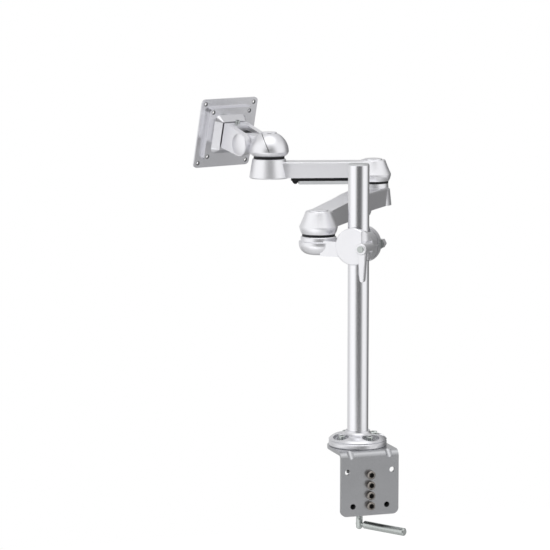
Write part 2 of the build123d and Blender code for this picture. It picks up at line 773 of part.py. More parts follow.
# Lower arm, a casting with a flared housing at the shoulder and a boss at the elbow.
shoulder_base = shoulder_seat + ring_height
bell_top = shoulder_base + bell_height
waist = lower_length * 0.45
with BuildPart() as lower_arm:
    with BuildSketch(level(shoulder, lower_yaw, lower_bottom)):
        with BuildLine():
            Polyline(
                (12, -lower_half),
                (waist, -lower_half),
                (lower_length, -elbow_boss + 0.6),
                (lower_length, elbow_boss - 0.6),
                (waist, lower_half),
                (12, lower_half),
                close=True,
            )
        make_face()
    extrude(amount=lower_top - lower_bottom)
    fillet(lower_arm.edges().filter_by(Axis.Z), 3)
    fillet(lower_arm.faces().sort_by(Axis.Z)[-1].edges(), 4)
    with BuildSketch(upright(shoulder, lower_yaw)):
        with BuildLine():
            Polyline(
                (-40, bell_top - 0.5),
                (14, bell_top - 0.5),
                (lower_length - slope_inset, lower_top),
                (lower_length - slope_inset, lower_top + 20),
                (-40, lower_top + 20),
                close=True,
            )
        make_face()
        with BuildLine():
            Polyline(
                (lower_length - 92, lower_bottom - 1),
                (lower_length - 84, elbow_underside),
                (lower_length + 60, elbow_underside),
                (lower_length + 60, lower_bottom - 20),
                (lower_length - 92, lower_bottom - 20),
                close=True,
            )
        make_face()
    extrude(amount=60, both=True, mode=Mode.SUBTRACT)
    bell = bell_profile(upright(shoulder, lower_yaw), shoulder_base)
    add(revolve(bell, vertical_axis(shoulder), mode=Mode.PRIVATE))
    with BuildSketch(upright(elbow, lower_yaw)):
        with BuildLine():
            Polyline(
                (0, elbow_underside),
                (elbow_boss + 2.6, elbow_underside),
                (elbow_boss, lower_top - 3.5),
                (elbow_boss - 3.2, lower_top),
                (ring_radius + 0.2, lower_top),
                (ring_radius - 0.2, elbow_seat),
                (0, elbow_seat),
                close=True,
            )
        make_face()
    revolve(axis=vertical_axis(elbow))
    with BuildSketch(level(shoulder, lower_yaw, shoulder_base)):
        Circle(pin_radius + running_gap)
    extrude(amount=floor_rise + 1, mode=Mode.SUBTRACT)
    with BuildSketch(level(shoulder, lower_yaw, shoulder_base + floor_rise)):
        Circle(nut_cavity)
    extrude(amount=bell_height, mode=Mode.SUBTRACT)
    with BuildSketch(level(elbow, lower_yaw, elbow_underside)):
        Circle(11.2)
    extrude(amount=6, mode=Mode.SUBTRACT)
    with BuildSketch(level(elbow, lower_yaw, elbow_underside)):
        Circle(pin_radius + 0.02)
    extrude(amount=elbow_seat - elbow_underside, mode=Mode.SUBTRACT)
    with BuildSketch(level(shoulder, lower_yaw, lower_bottom)):
        with Locations((lower_length / 2 - 22, 0)):
            SlotOverall(lower_length - strip_inset, strip_width)
    extrude(amount=strip_depth, mode=Mode.SUBTRACT)
lower_arm.part.label = "lower_arm"
export_step(lower_arm.part, "parts/lower_arm.step")

# Strip let into the underside of the lower arm.
with BuildPart() as lower_strip:
    with BuildSketch(level(shoulder, lower_yaw, lower_bottom)):
        with Locations((lower_length / 2 - 22, 0)):
            SlotOverall(lower_length - strip_inset - 2 * strip_gap, strip_width - 2 * strip_gap)
    extrude(amount=strip_depth)
lower_strip.part.label = "lower_strip"
export_step(lower_strip.part, "parts/lower_strip.step")

# Upper arm, with its housing at the elbow and a flared boss under the head.
elbow_base = elbow_seat + ring_height
with BuildPart() as upper_arm:
    with BuildSketch(level(elbow, upper_yaw, upper_bottom)):
        with BuildLine():
            Polyline(
                (12, -upper_half + 1),
                (upper_length, -upper_half - 1),
                (upper_length, upper_half + 1),
                (12, upper_half - 1),
                close=True,
            )
        make_face()
    extrude(amount=upper_top - upper_bottom)
    fillet(upper_arm.faces().sort_by(Axis.Z)[-1].edges(), 2.5)
    bell = bell_profile(upright(elbow, upper_yaw), elbow_base)
    add(revolve(bell, vertical_axis(elbow), mode=Mode.PRIVATE))
    with BuildSketch(upright(swivel, upper_yaw)):
        with BuildLine():
            Polyline(
                (0, swivel_underside),
                (swivel_boss_base - 1.5, swivel_underside),
                (swivel_boss_base, swivel_underside + 1.8),
                (swivel_boss_top, swivel_seat - 1),
                (swivel_boss_top - 1, swivel_seat),
                (0, swivel_seat),
                close=True,
            )
        make_face()
    revolve(axis=vertical_axis(swivel))
    with BuildSketch(level(elbow, upper_yaw, elbow_base)):
        Circle(pin_radius + running_gap)
    extrude(amount=floor_rise + 1, mode=Mode.SUBTRACT)
    with BuildSketch(level(elbow, upper_yaw, elbow_base + floor_rise)):
        Circle(nut_cavity)
    extrude(amount=bell_height, mode=Mode.SUBTRACT)
    with BuildSketch(level(swivel, upper_yaw, swivel_underside)):
        Circle(11.2)
    extrude(amount=6, mode=Mode.SUBTRACT)
    with BuildSketch(level(swivel, upper_yaw, swivel_underside)):
        Circle(pin_radius + 0.02)
    extrude(amount=swivel_seat - swivel_underside, mode=Mode.SUBTRACT)
    with BuildSketch(level(elbow, upper_yaw, upper_bottom)):
        with Locations((upper_length / 2, 0)):
            SlotOverall(upper_length - 70, 24)
    extrude(amount=14, mode=Mode.SUBTRACT)
    with BuildSketch(level(elbow, upper_yaw, upper_top)):
        with Locations((upper_length - 36, 0)):
            SlotOverall(18, 8)
    extrude(amount=-13, mode=Mode.SUBTRACT)
upper_arm.part.label = "upper_arm"
export_step(upper_arm.part, "parts/upper_arm.step")

# Black cable guide in the upper arm's channel, its rounded nose lower than the rest.
cover_top = upper_bottom - cover_drop / 2
with BuildPart() as cable_guide:
    with BuildSketch(level(elbow, upper_yaw, cover_top)):
        with Locations((upper_length / 2, 0)):
            SlotOverall(upper_length - guide_inset, guide_width)
    extrude(amount=cover_drop / 2 + 8)
    with BuildSketch(upright(elbow, upper_yaw)):
        with Locations((upper_length - 41.8, upper_bottom)):
            Ellipse(6, cover_drop - 0.4)
            Rectangle(20, 40, align=(Align.CENTER, Align.MIN), mode=Mode.SUBTRACT)
    extrude(amount=8, both=True)
    with BuildSketch(level(elbow, upper_yaw, upper_bottom)):
        with Locations((upper_length / 2, 0)):
            SlotOverall(upper_length - cable_inset, cable_width)
    extrude(amount=9, mode=Mode.SUBTRACT)
cable_guide.part.label = "cable_guide"
export_step(cable_guide.part, "parts/cable_guide.step")

# Snap-on cover under the cable guide.
with BuildPart() as cable_cover:
    with BuildSketch(level(elbow, upper_yaw, cover_top)):
        with Locations((upper_length / 2 - 5.8, 0)):
            Rectangle(upper_length - cover_inset, cover_width)
    extrude(amount=-cover_drop / 2)
    fillet(cable_cover.edges().filter_by(Axis.Z), 4)
    fillet(cable_cover.faces().sort_by(Axis.Z)[0].edges(), 1.2)
cable_cover.part.label = "cable_cover"
export_step(cable_cover.part, "parts/cable_cover.step")

# Cover shell on the far side of the head's dome, bounded by a leaning seam.
dome_base = swivel_seat + ring_height
dome_middle = dome_base + 7.8
seam_out = Vector(0.875, -0.293, 0.387)
seam = Plane((swivel.X, swivel.Y, dome_middle), x_dir=(0.317, 0.948, 0), z_dir=seam_out)
diagonal = 0.7071
with BuildPart() as dome_cover:
    with BuildSketch(upright(swivel, head_yaw)):
        with BuildLine():
            ThreePointArc(
                (dome_radius, dome_middle),
                (dome_radius * diagonal, dome_middle + dome_radius * diagonal),
                (dome_radius * 0.4, dome_middle + dome_radius * 0.9165),
            )
            ThreePointArc(
                (dome_radius - 2.5, dome_middle),
                ((dome_radius - 2.5) * diagonal, dome_middle + (dome_radius - 2.5) * diagonal),
                ((dome_radius - 2.5) * 0.4, dome_middle + (dome_radius - 2.5) * 0.9165),
            )
            Line((dome_radius, dome_middle), (dome_radius - 2.5, dome_middle))
            Line(
                (dome_radius * 0.4, dome_middle + dome_radius * 0.9165),
                ((dome_radius - 2.5) * 0.4, dome_middle + (dome_radius - 2.5) * 0.9165),
            )
        make_face()
    revolve(axis=vertical_axis(swivel))
    split(bisect_by=seam, keep=Keep.TOP)
cover_space = dome_cover.part

# Head casting: the dome over the swivel and the neck out to the tilt barrel.
with BuildPart() as head_casting:
    with BuildSketch(upright(swivel, head_yaw)):
        with BuildLine():
            Line((pin_radius + running_gap, dome_base), (ring_radius - 0.6, dome_base))
            ThreePointArc(
                (ring_radius - 0.6, dome_base),
                (dome_radius - 2.0, dome_base + 3.4),
                (dome_radius, dome_middle),
            )
            ThreePointArc(
                (dome_radius, dome_middle),
                (dome_radius * diagonal, dome_middle + dome_radius * diagonal),
                (dome_radius * 0.4, dome_middle + dome_radius * 0.9165),
            )
            Polyline(
                (dome_radius * 0.4, dome_middle + dome_radius * 0.9165),
                (nut_cavity, dome_middle + dome_radius * 0.9165),
                (nut_cavity, dome_base + floor_rise),
                (pin_radius + running_gap, dome_base + floor_rise),
                (pin_radius + running_gap, dome_base),
            )
        make_face()
    revolve(axis=vertical_axis(swivel))
    with BuildSketch(upright(swivel, head_yaw)):
        with BuildLine():
            Polyline(
                (14, hinge_height - 10),
                (hinge_reach, hinge_height - barrel_radius),
                (hinge_reach, hinge_height + barrel_radius),
                (14, hinge_height + 13),
                close=True,
            )
        make_face()
        with Locations((hinge_reach, hinge_height)):
            Circle(barrel_radius)
    extrude(amount=cheek_inside - 0.5, both=True)
    add(cover_space, mode=Mode.SUBTRACT)
    with BuildSketch(upright(swivel, head_yaw)):
        with Locations((hinge_reach, hinge_height)):
            Circle(4 + running_gap)
    extrude(amount=2 * cheek_inside, both=True, mode=Mode.SUBTRACT)
head_casting.part.label = "head_casting"
export_step(head_casting.part, "parts/head_casting.step")

# The cover stops short of the seam, which leaves the joint line.
with BuildPart() as dome_shell:
    add(cover_space)
    split(bisect_by=seam.offset(1.0), keep=Keep.TOP)
dome_shell.part.label = "dome_shell"
export_step(dome_shell.part, "parts/dome_shell.step")

# Tilting frame at the hinge.
head_out = heading(head_yaw)
across = heading(head_yaw + 90)
outward = head_out * cos(radians(tilt)) + Vector(0, 0, sin(radians(tilt)))
raised = Vector(0, 0, cos(radians(tilt))) - head_out * sin(radians(tilt))


def facing(distance):
    """A plane square to the mounting plate's normal."""
    return Plane(hinge + outward * distance, x_dir=across, z_dir=outward)


def beside(offset):
    """A plane square to the tilt axis, x towards the plate and y up along it."""
    return Plane(hinge + across * offset, x_dir=outward, z_dir=across * -1)


# Tilt yoke: two cheeks on a web that carries the mounting plate.
cheek_outside = cheek_inside + cheek_thick
yoke_low = -18.4
yoke_high = 23.0
with BuildPart() as tilt_yoke:
    for start in (cheek_outside, -cheek_inside):
        with BuildSketch(beside(start)):
            Circle(cheek_radius)
            with Locations((yoke_end - 3, (yoke_low + yoke_high) / 2)):
                Rectangle(6, yoke_high - yoke_low)
            make_hull()
        extrude(amount=cheek_thick)
    with BuildSketch(beside(0)):
        with Locations(((yoke_base + yoke_end) / 2, (yoke_low + yoke_high) / 2)):
            Rectangle(yoke_end - yoke_base, yoke_high - yoke_low)
    extrude(amount=cheek_inside + 1, both=True)
    with BuildSketch(beside(0)):
        Circle(4.02)
    extrude(amount=2 * cheek_outside, both=True, mode=Mode.SUBTRACT)
    with BuildSketch(facing(yoke_base)):
        Circle(5)
    extrude(amount=yoke_end - yoke_base, mode=Mode.SUBTRACT)
    with BuildSketch(Plane(hinge + outward * pivot_screw_reach + raised * yoke_high, z_dir=raised)):
        Circle(2.6)
    extrude(amount=-10, mode=Mode.SUBTRACT)
tilt_yoke.part.label = "tilt_yoke"
export_step(tilt_yoke.part, "parts/tilt_yoke.step")

# Tilt pin, washers and the dished caps over its ends.
with BuildPart() as tilt_pin:
    with BuildSketch(beside(0)):
        Circle(4)
    extrude(amount=cheek_outside - 1, both=True)
tilt_pin.part.label = "tilt_pin"
export_step(tilt_pin.part, "parts/tilt_pin.step")

with BuildPart() as tilt_washers:
    for start in (cheek_inside - 0.05, -cheek_inside + 0.45):
        with BuildSketch(beside(start)):
            Circle(12)
            Circle(4.3, mode=Mode.SUBTRACT)
        extrude(amount=0.4)
tilt_washers.part.label = "tilt_washers"
export_step(tilt_washers.part, "parts/tilt_washers.step")

with BuildPart() as tilt_caps:
    for end in (1, -1):
        with BuildSketch(Plane(hinge, x_dir=outward, z_dir=raised)):
            with BuildLine():
                Polyline(
                    (0, end * cheek_outside),
                    (cheek_radius - 0.6, end * cheek_outside),
                    (cheek_radius - 0.6, end * (cheek_outside + 1.8)),
                    (cheek_radius - 1.8, end * (cheek_outside + 3)),
                    (cheek_radius - 4.2, end * (cheek_outside + 3)),
                    (cheek_radius - 7, end * (cheek_outside + 1.6)),
                    (0, end * (cheek_outside + 1.2)),
                    close=True,
                )
            make_face()
        revolve(axis=Axis(hinge, across))
tilt_caps.part.label = "tilt_caps"
export_step(tilt_caps.part, "parts/tilt_caps.step")

# Screw on top of the yoke that sets the plate's turning friction.
with BuildPart() as pivot_screw:
    with BuildSketch(Plane(hinge + outward * pivot_screw_reach + raised * yoke_high, z_dir=raised)):
        Circle(4.4)
    extrude(amount=5)
    with BuildSketch(Plane(hinge + outward * pivot_screw_reach + raised * yoke_high, z_dir=raised)):
        Circle(2.55)
    extrude(amount=-9)
    with BuildSketch(Plane(hinge + outward * pivot_screw_reach + raised * (yoke_high + 5), z_dir=raised)):
        RegularPolygon(2.4, 6)
    extrude(amount=-3, mode=Mode.SUBTRACT)
pivot_screw.part.label = "pivot_screw"
export_step(pivot_screw.part, "parts/pivot_screw.step")

# Friction washer and bolt that the mounting plate turns on.
hub_back = plate_reach - plate_sheet - step_one - step_two
with BuildPart() as pivot_washer:
    with BuildSketch(facing(yoke_end)):
        Circle(17)
        Circle(5.4, mode=Mode.SUBTRACT)
    extrude(amount=hub_back - yoke_end)
pivot_washer.part.label = "pivot_washer"
export_step(pivot_washer.part, "parts/pivot_washer.step")

with BuildPart() as pivot_bolt:
    with BuildSketch(facing(yoke_base + 0.5)):
        Circle(4.95)
    extrude(amount=hub_back + plate_sheet + 0.1 - yoke_base - 0.5)
    with BuildSketch(facing(hub_back + plate_sheet + 0.1)):
        Circle(9)
    extrude(amount=5)
    with BuildSketch(facing(hub_back + plate_sheet + 5.1)):
        RegularPolygon(4, 6)
    extrude(amount=-3, mode=Mode.SUBTRACT)
pivot_bolt.part.label = "pivot_bolt"
export_step(pivot_bolt.part, "parts/pivot_bolt.step")

# Pressed steel mounting plate, stepped like a low pyramid, drilled for both patterns.
with BuildPart() as vesa_plate:
    with BuildSketch(facing(plate_reach)):
        RectangleRounded(plate_size, plate_size, 7)
    extrude(amount=-plate_sheet)
    with BuildSketch(facing(plate_reach - plate_sheet)):
        RectangleRounded(vesa_small + 16, vesa_small + 16, 8)
    extrude(amount=-step_one, taper=10)
    with BuildSketch(facing(plate_reach - plate_sheet - step_one)):
        RectangleRounded(raised_base, raised_base, 10)
    extrude(amount=-step_two, taper=raised_taper)
    with BuildSketch(facing(plate_reach)):
        RectangleRounded(vesa_small + 10.5, vesa_small + 10.5, 6)
    extrude(amount=-step_one, taper=10, mode=Mode.SUBTRACT)
    with BuildSketch(facing(plate_reach - step_one)):
        RectangleRounded(raised_base - 5.5, raised_base - 5.5, 9.5)
    extrude(amount=-step_two, taper=raised_taper, mode=Mode.SUBTRACT)
    with BuildSketch(facing(plate_reach)):
        with GridLocations(vesa_large, vesa_large, 2, 2):
            Circle(vesa_hole / 2)
        with GridLocations(vesa_small, vesa_small, 2, 2):
            Circle(vesa_hole / 2)
        Circle(5)
    extrude(amount=-plate_sheet - step_one - step_two, mode=Mode.SUBTRACT)
vesa_plate.part.label = "vesa_plate"
export_step(vesa_plate.part, "parts/vesa_plate.step")
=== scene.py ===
from math import cos, radians, sin

import bpy
import numpy as np
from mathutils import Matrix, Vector


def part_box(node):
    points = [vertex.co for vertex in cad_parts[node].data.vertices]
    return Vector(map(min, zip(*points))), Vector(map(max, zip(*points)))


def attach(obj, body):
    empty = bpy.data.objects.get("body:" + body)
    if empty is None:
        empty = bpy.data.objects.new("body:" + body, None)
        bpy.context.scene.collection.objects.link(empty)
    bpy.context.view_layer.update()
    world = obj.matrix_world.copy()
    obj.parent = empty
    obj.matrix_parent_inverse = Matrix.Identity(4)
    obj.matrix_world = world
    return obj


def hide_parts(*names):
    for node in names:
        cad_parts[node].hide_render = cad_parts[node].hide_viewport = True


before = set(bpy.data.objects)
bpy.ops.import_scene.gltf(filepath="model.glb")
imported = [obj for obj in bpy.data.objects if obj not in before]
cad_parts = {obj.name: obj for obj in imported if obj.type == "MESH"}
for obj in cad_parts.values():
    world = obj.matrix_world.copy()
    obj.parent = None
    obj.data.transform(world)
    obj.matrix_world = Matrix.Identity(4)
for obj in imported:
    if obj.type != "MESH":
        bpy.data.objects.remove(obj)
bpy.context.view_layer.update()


# Desk pad and pressure pad: sheets of black rubber, glued under the bracket and on top of
# the pressure plate, so that the clamp doesn't mark the desk.
class Tone:
    """One output of a node. Arithmetic on tones and numbers adds Math nodes."""

    def __init__(self, recipe, socket):
        self.recipe = recipe
        self.socket = socket

    def maths(self, operation, first, second):
        return self.recipe.node("ShaderNodeMath", {"operation": operation}, {0: first, 1: second})

    def __add__(self, other):
        return self.maths("ADD", self, other)

    def __radd__(self, other):
        return self.maths("ADD", other, self)

    def __sub__(self, other):
        return self.maths("SUBTRACT", self, other)

    def __rsub__(self, other):
        return self.maths("SUBTRACT", other, self)

    def __mul__(self, other):
        return self.maths("MULTIPLY", self, other)

    def __rmul__(self, other):
        return self.maths("MULTIPLY", other, self)


class Recipe:
    """A node tree that is being filled; node() adds a node and gives its output as a Tone."""

    def __init__(self, tree):
        self.tree = tree

    def feed(self, shader, values):
        for name, value in values.items():
            if isinstance(value, Tone):
                self.tree.links.new(value.socket, shader.inputs[name])
            else:
                shader.inputs[name].default_value = value

    def node(self, kind, settings=None, values=None, output=0):
        made = self.tree.nodes.new(kind)
        for name, setting in (settings or {}).items():
            setattr(made, name, setting)
        self.feed(made, values or {})
        return Tone(self, made.outputs[output])


class Finish(Recipe):
    """A material: its patterns are laid out in the object's own coordinates, in metres."""

    def __init__(self, name, values):
        self.material = bpy.data.materials.new(name)
        self.material.use_nodes = True
        super().__init__(self.material.node_tree)
        self.surface = self.tree.nodes["Principled BSDF"]
        self.place = self.node("ShaderNodeTexCoord", output="Object")
        self.feed(self.surface, values)

    def turned(self, angles, scale):
        """The piece's coordinates, scaled along their axes and then turned."""
        settings = {"vector_type": "POINT"}
        values = {"Vector": self.place, "Rotation": angles, "Scale": scale}
        return self.node("ShaderNodeMapping", settings, values)

    def noise(self, scale, detail=2.0, place=None):
        """Soft random spots, about as many to the metre as scale says."""
        values = {"Vector": place or self.place, "Scale": scale, "Detail": detail}
        return self.node("ShaderNodeTexNoise", None, values)

    def mix(self, amount, low, high):
        """A blend of two colours. 6, 7 and the output 2 are the Mix node's colour sockets."""
        return self.node("ShaderNodeMix", {"data_type": "RGBA"}, {0: amount, 6: low, 7: high}, 2)

    def between(self, amount, low, high):
        """The same for two plain colours, each given as red, green and blue."""
        return self.mix(amount, (*low, 1.0), (*high, 1.0))

    def bump(self, height, depth):
        """A surface that stands out by the height's tone times the depth in metres."""
        return self.node("ShaderNodeBump", None, {"Height": height, "Distance": depth})

    def lay(self, **values):
        """Feeds the surface. An underscore in a name stands for a space."""
        self.feed(self.surface, {name.replace("_", " "): value for name, value in values.items()})

    def on(self, *names):
        """Puts the finish on the named nodes of the part."""
        for name in names:
            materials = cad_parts[name].data.materials
            materials.clear()
            materials.append(self.material)


rubber = Finish("black_rubber", {"Specular IOR Level": 0.3})
grit = rubber.noise(2600.0, 3.0)
bloom = rubber.noise(60.0)
rubber.lay(
    Base_Color=rubber.between(bloom, (0.012, 0.012, 0.013), (0.03, 0.03, 0.031)),
    Roughness=0.66 + 0.2 * grit,
    Normal=rubber.bump(grit, 0.00012),
)
rubber.on("desk_pad", "pressure_pad")


# Desk bracket: 5 mm steel with pressed ribs, bent and drilled, then powder coated a satin
# silver-grey. It lies on the desk and hangs in front of its edge.
bracket_coat = Finish("grey_powder_coat", {"Metallic": 0.95})
pebble = bracket_coat.noise(1500.0, 2.0)
mottle = bracket_coat.noise(26.0, 3.0)
bracket_coat.lay(
    Base_Color=bracket_coat.between(mottle, (0.42, 0.425, 0.44), (0.48, 0.485, 0.50)),
    Roughness=0.22 + 0.1 * pebble,
    Normal=bracket_coat.bump(pebble, 0.00006),
)
bracket_coat.on("desk_bracket")


# Jaw and pressure plate: thick steel, which take the desk from below. The jaw is screwed on
# behind the bracket's plate. Both are coloured near black as painted shade, so the lower holes show
# dark.
jaw_shade_coat = Finish("dark_jaw_shade_coat", {"Metallic": 0.6})
jaw_speck = jaw_shade_coat.noise(1800.0, 3.0)
jaw_shade_coat.lay(
    Base_Color=jaw_shade_coat.between(jaw_speck, (0.085, 0.087, 0.092), (0.13, 0.132, 0.138)),
    Roughness=0.38 + 0.2 * jaw_speck,
    Normal=jaw_shade_coat.bump(jaw_speck, 0.00005),
)
jaw_shade_coat.on("clamp_jaw", "pressure_plate")


# Jaw screws: four M8 socket heads in a column through the plate into the jaw, nickel plated
# over dark steel, with the fine knurl that such heads are rolled with. Their sockets are coloured
# black as painted shade.
sharp_edge = radians(32)


def skin(name, rings):
    """Closes rings of points into a solid: quads between neighbours, a flat face at each end."""
    count, around = rings.shape[:2]
    index = np.arange(count * around).reshape(count, around)
    low, high = index[:-1], index[1:]
    quads = np.stack([low, np.roll(low, -1, 1), np.roll(high, -1, 1), high], -1).reshape(-1, 4)
    faces = quads.tolist() + [index[0][::-1].tolist(), index[-1].tolist()]
    mesh = bpy.data.meshes.new(name)
    mesh.from_pydata(rings.reshape(-1, 3).tolist(), [], faces)
    mesh.polygons.foreach_set("use_smooth", np.ones(len(mesh.polygons), bool))
    mesh.set_sharp_from_angle(angle=sharp_edge)
    piece = bpy.data.objects.new(name, mesh)
    bpy.context.scene.collection.objects.link(piece)
    return piece


def circle_angles(count):
    """The given number of even steps round a full turn, in radians."""
    return np.linspace(0.0, 2 * np.pi, count, endpoint=False)


nickel = Finish("dark_nickel", {"Metallic": 1.0})
tarnish = nickel.noise(420.0, 4.0)
nickel.lay(
    Base_Color=nickel.between(tarnish, (0.22, 0.20, 0.185), (0.40, 0.37, 0.34)),
    Roughness=0.14 + 0.16 * tarnish,
    Normal=nickel.bump(tarnish, 0.00003),
)
nickel.on("jaw_screws")
# The socket's near-black colour is painted shade, for the shade deep in each hex socket.
socket_shade = Finish("painted_socket_shade", {"Metallic": 0.2, "Specular IOR Level": 0.3})
socket_speck = socket_shade.noise(700.0, 2.0)
socket_shade.lay(
    Base_Color=socket_shade.between(socket_speck, (0.006, 0.006, 0.006), (0.02, 0.018, 0.016)),
    Roughness=0.35 + 0.3 * socket_speck,
)

plate_face, screw_count, column_middle, column_pitch = -0.054, 4, -0.052, 0.0158
head_round, head_height, shank, shank_end = 0.0064, 0.008, 0.00395, -0.0125
under_chamfer, top_chamfer, knurl_runout = 0.0004, 0.0012, 0.0001
socket_across, socket_floor, socket_flare, socket_chamfer = 0.00295, 0.0035, 1.25, 0.0006
knurl_teeth, knurl_depth, head_sides = 30, 0.00022, 240
turn = circle_angles(head_sides)
even = np.ones_like(turn)
# The knurl is a cosine round the head. A hexagon's radius is its half width over the cosine of
# the angle from the nearest flat's middle.
tooth = head_round - knurl_depth * (0.5 + 0.5 * np.cos(knurl_teeth * turn))
hexagon = socket_across / np.cos((turn + np.pi / 6) % (np.pi / 3) - np.pi / 6)
head_steps = (
    (shank_end, shank * even),
    (0.0, shank * even),
    (0.0, (head_round - under_chamfer) * even),
    (under_chamfer, tooth),
    (head_height - top_chamfer - knurl_runout, tooth),
    (head_height - top_chamfer, (head_round - knurl_depth) * even),
    (head_height, (head_round - top_chamfer) * even),
    (head_height, socket_flare * hexagon),
    (head_height - socket_chamfer, hexagon),
    (socket_floor, hexagon),
)
head_radii = np.stack([radii for out, radii in head_steps])
head_fronts = np.stack([(plate_face - out) * even for out, radii in head_steps])
socket_bands = 2
column = column_middle + column_pitch * (np.arange(screw_count) - (screw_count - 1) / 2)
for number, height in enumerate(column):
    across, upward = head_radii * np.cos(turn), height + head_radii * np.sin(turn)
    cap_screw = skin("jaw_screw_%d" % (number + 1), np.stack([across, head_fronts, upward], -1))
    cap_screw.data.materials.append(nickel.material)
    cap_screw.data.materials.append(socket_shade.material)
    # The socket is the last bands and the last face, coloured black as painted shade. The face
    # before it closes the shank.
    in_socket = np.zeros(len(cap_screw.data.polygons), np.int32)
    in_socket[-socket_bands * head_sides - 2:] = 1
    in_socket[-2] = 0
    cap_screw.data.polygons.foreach_set("material_index", in_socket)
    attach(cap_screw, "base")
    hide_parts("jaw_screws")


# Clamp screw: a zinc plated rod with a rolled trapezoidal thread, its turned neck in the
# pressure plate and its plain end drilled for the bar. Bar, pins and small screws match it.
zinc = Finish("bright_zinc", {"Metallic": 1.0})
haze = zinc.noise(320.0, 4.0)
zinc.lay(
    Base_Color=zinc.between(haze, (0.42, 0.45, 0.44), (0.62, 0.65, 0.635)),
    Roughness=0.2 + 0.2 * haze,
    Normal=zinc.bump(haze, 0.00004),
)
zinc.on("clamp_screw", "tommy_bar", "foot_screws", "pole_lock_screw", "stud_washer", "lever_button")
zinc.on("shoulder_pin", "elbow_pin", "swivel_pin", "shoulder_nut", "elbow_nut", "swivel_nut")
zinc.on("shoulder_springs", "elbow_springs", "swivel_springs")
zinc.on("tilt_pin", "pivot_screw", "pivot_bolt")

rod_depth, rod_round, rod_end, end_chamfer = -0.009, 0.005, -0.122, 0.0025
neck_low, neck_high, neck_round = -0.0403, -0.0345, 0.004
thread_low, thread_high, thread_pitch, thread_depth = -0.1065, -0.0435, 0.002, 0.0009
flank_slope, groove_half, pitch_steps, rod_sides = 8.0, 0.3, 12, 48
around = circle_angles(rod_sides)
level = np.ones((1, rod_sides))
climb = np.arange(thread_low, thread_high, thread_pitch / pitch_steps)
# The groove is a sloped step of a phase that climbs one pitch with each turn, and it runs out
# over the last pitch at both ends.
phase = (climb[:, None] / thread_pitch - around[None] / (2 * np.pi)) % 1.0
groove = np.clip(flank_slope * (groove_half - np.abs(phase - 0.5)), 0.0, 1.0)
runout = np.clip(np.minimum(climb - thread_low, thread_high - climb) / thread_pitch, 0.0, 1.0)
thread = rod_round - thread_depth * groove * runout[:, None]
rod_radii = np.concatenate([
    (rod_round - end_chamfer) * level,
    rod_round * level,
    thread,
    rod_round * level,
    neck_round * level,
    neck_round * level,
])
rod_heights = np.concatenate([
    [rod_end, rod_end + end_chamfer],
    climb,
    [neck_low, neck_low, neck_high],
])
rod_rings = np.stack([
    rod_radii * np.cos(around),
    rod_depth + rod_radii * np.sin(around),
    rod_heights[:, None] * level,
], -1)
clamp_rod = skin("clamp_rod", rod_rings)
clamp_rod.data.materials.append(zinc.material)
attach(clamp_rod, "screw")
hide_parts("clamp_screw")


# Foot and its ring: die-cast aluminium, smoothed and sprayed a bright metallic silver. Four
# screws in pockets hold both down on the bracket.
foot_paint = Finish("bright_silver_paint", {"Metallic": 0.85})
speckle = foot_paint.noise(5200.0, 1.0)
foot_paint.lay(
    Base_Color=foot_paint.between(speckle, (0.68, 0.68, 0.71), (0.80, 0.80, 0.825)),
    Roughness=0.18 + 0.1 * speckle,
    Normal=foot_paint.bump(speckle, 0.00002),
)
foot_paint.on("foot_ring", "pole_foot")


# Pole: drawn aluminium tube with a satin anodised skin, faintly streaked along its length. A
# side screw locks it in the foot, and a grey moulded plug closes it.
pole_skin = Finish("satin_anodised", {"Metallic": 1.0})
streaks = pole_skin.noise(1.0, 3.0, pole_skin.turned((0, 0, 0), (1400.0, 1400.0, 9.0)))
pole_skin.lay(
    Base_Color=pole_skin.between(streaks, (0.83, 0.83, 0.86), (0.91, 0.91, 0.935)),
    Roughness=0.18 + 0.1 * streaks,
    Normal=pole_skin.bump(streaks, 0.000015),
)
pole_skin.on("pole")


# Moulded covers: the pole's plug and the strips under the links, in grey ABS with a fine
# spark-eroded grain, pushed into their seats.
grey_plastic = Finish("grey_moulding", {"Specular IOR Level": 0.45})
grain = grey_plastic.noise(1900.0, 3.0)
shade = grey_plastic.noise(40.0)
grey_plastic.lay(
    Base_Color=grey_plastic.between(shade, (0.54, 0.55, 0.56), (0.62, 0.63, 0.64)),
    Roughness=0.42 + 0.2 * grain,
    Normal=grey_plastic.bump(grain, 0.00005),
)
grey_plastic.on("pole_cap", "cable_cover", "lower_strip")


# Bush: a split sleeve of natural nylon, moulded a little cloudy. It slides on the pole, and the
# collar turns on it.
nylon = Finish("natural_nylon", {"Subsurface Weight": 0.1})
cloud = nylon.noise(180.0, 2.0)
nylon.lay(
    Base_Color=nylon.between(cloud, (0.70, 0.69, 0.65), (0.79, 0.78, 0.75)),
    Roughness=0.4 + 0.15 * cloud,
)
nylon.on("pole_bush")


# Castings of the arm: die-cast aluminium, sprayed with a satin silver paint whose fine flake
# sparkles. A painted stud clamps the collar on the pole, and the links turn on pins.
cast_paint = Finish("silver_paint", {"Metallic": 0.78})
flake = cast_paint.noise(5200.0, 1.0)
drift = cast_paint.noise(34.0, 3.0)
tint = 0.6 * drift + 0.4 * flake
cast_paint.lay(
    Base_Color=cast_paint.between(tint, (0.80, 0.80, 0.83), (0.90, 0.90, 0.925)),
    Roughness=0.24 + 0.1 * flake,
    Normal=cast_paint.bump(flake, 0.00002),
)
cast_paint.on("collar_body", "clamp_stud", "stud_nut", "lever_boss", "lever_handle")
cast_paint.on("lower_arm", "head_casting", "dome_shell", "tilt_yoke", "tilt_caps")
cast_paint.on("shoulder_cap", "elbow_cap", "swivel_cap")


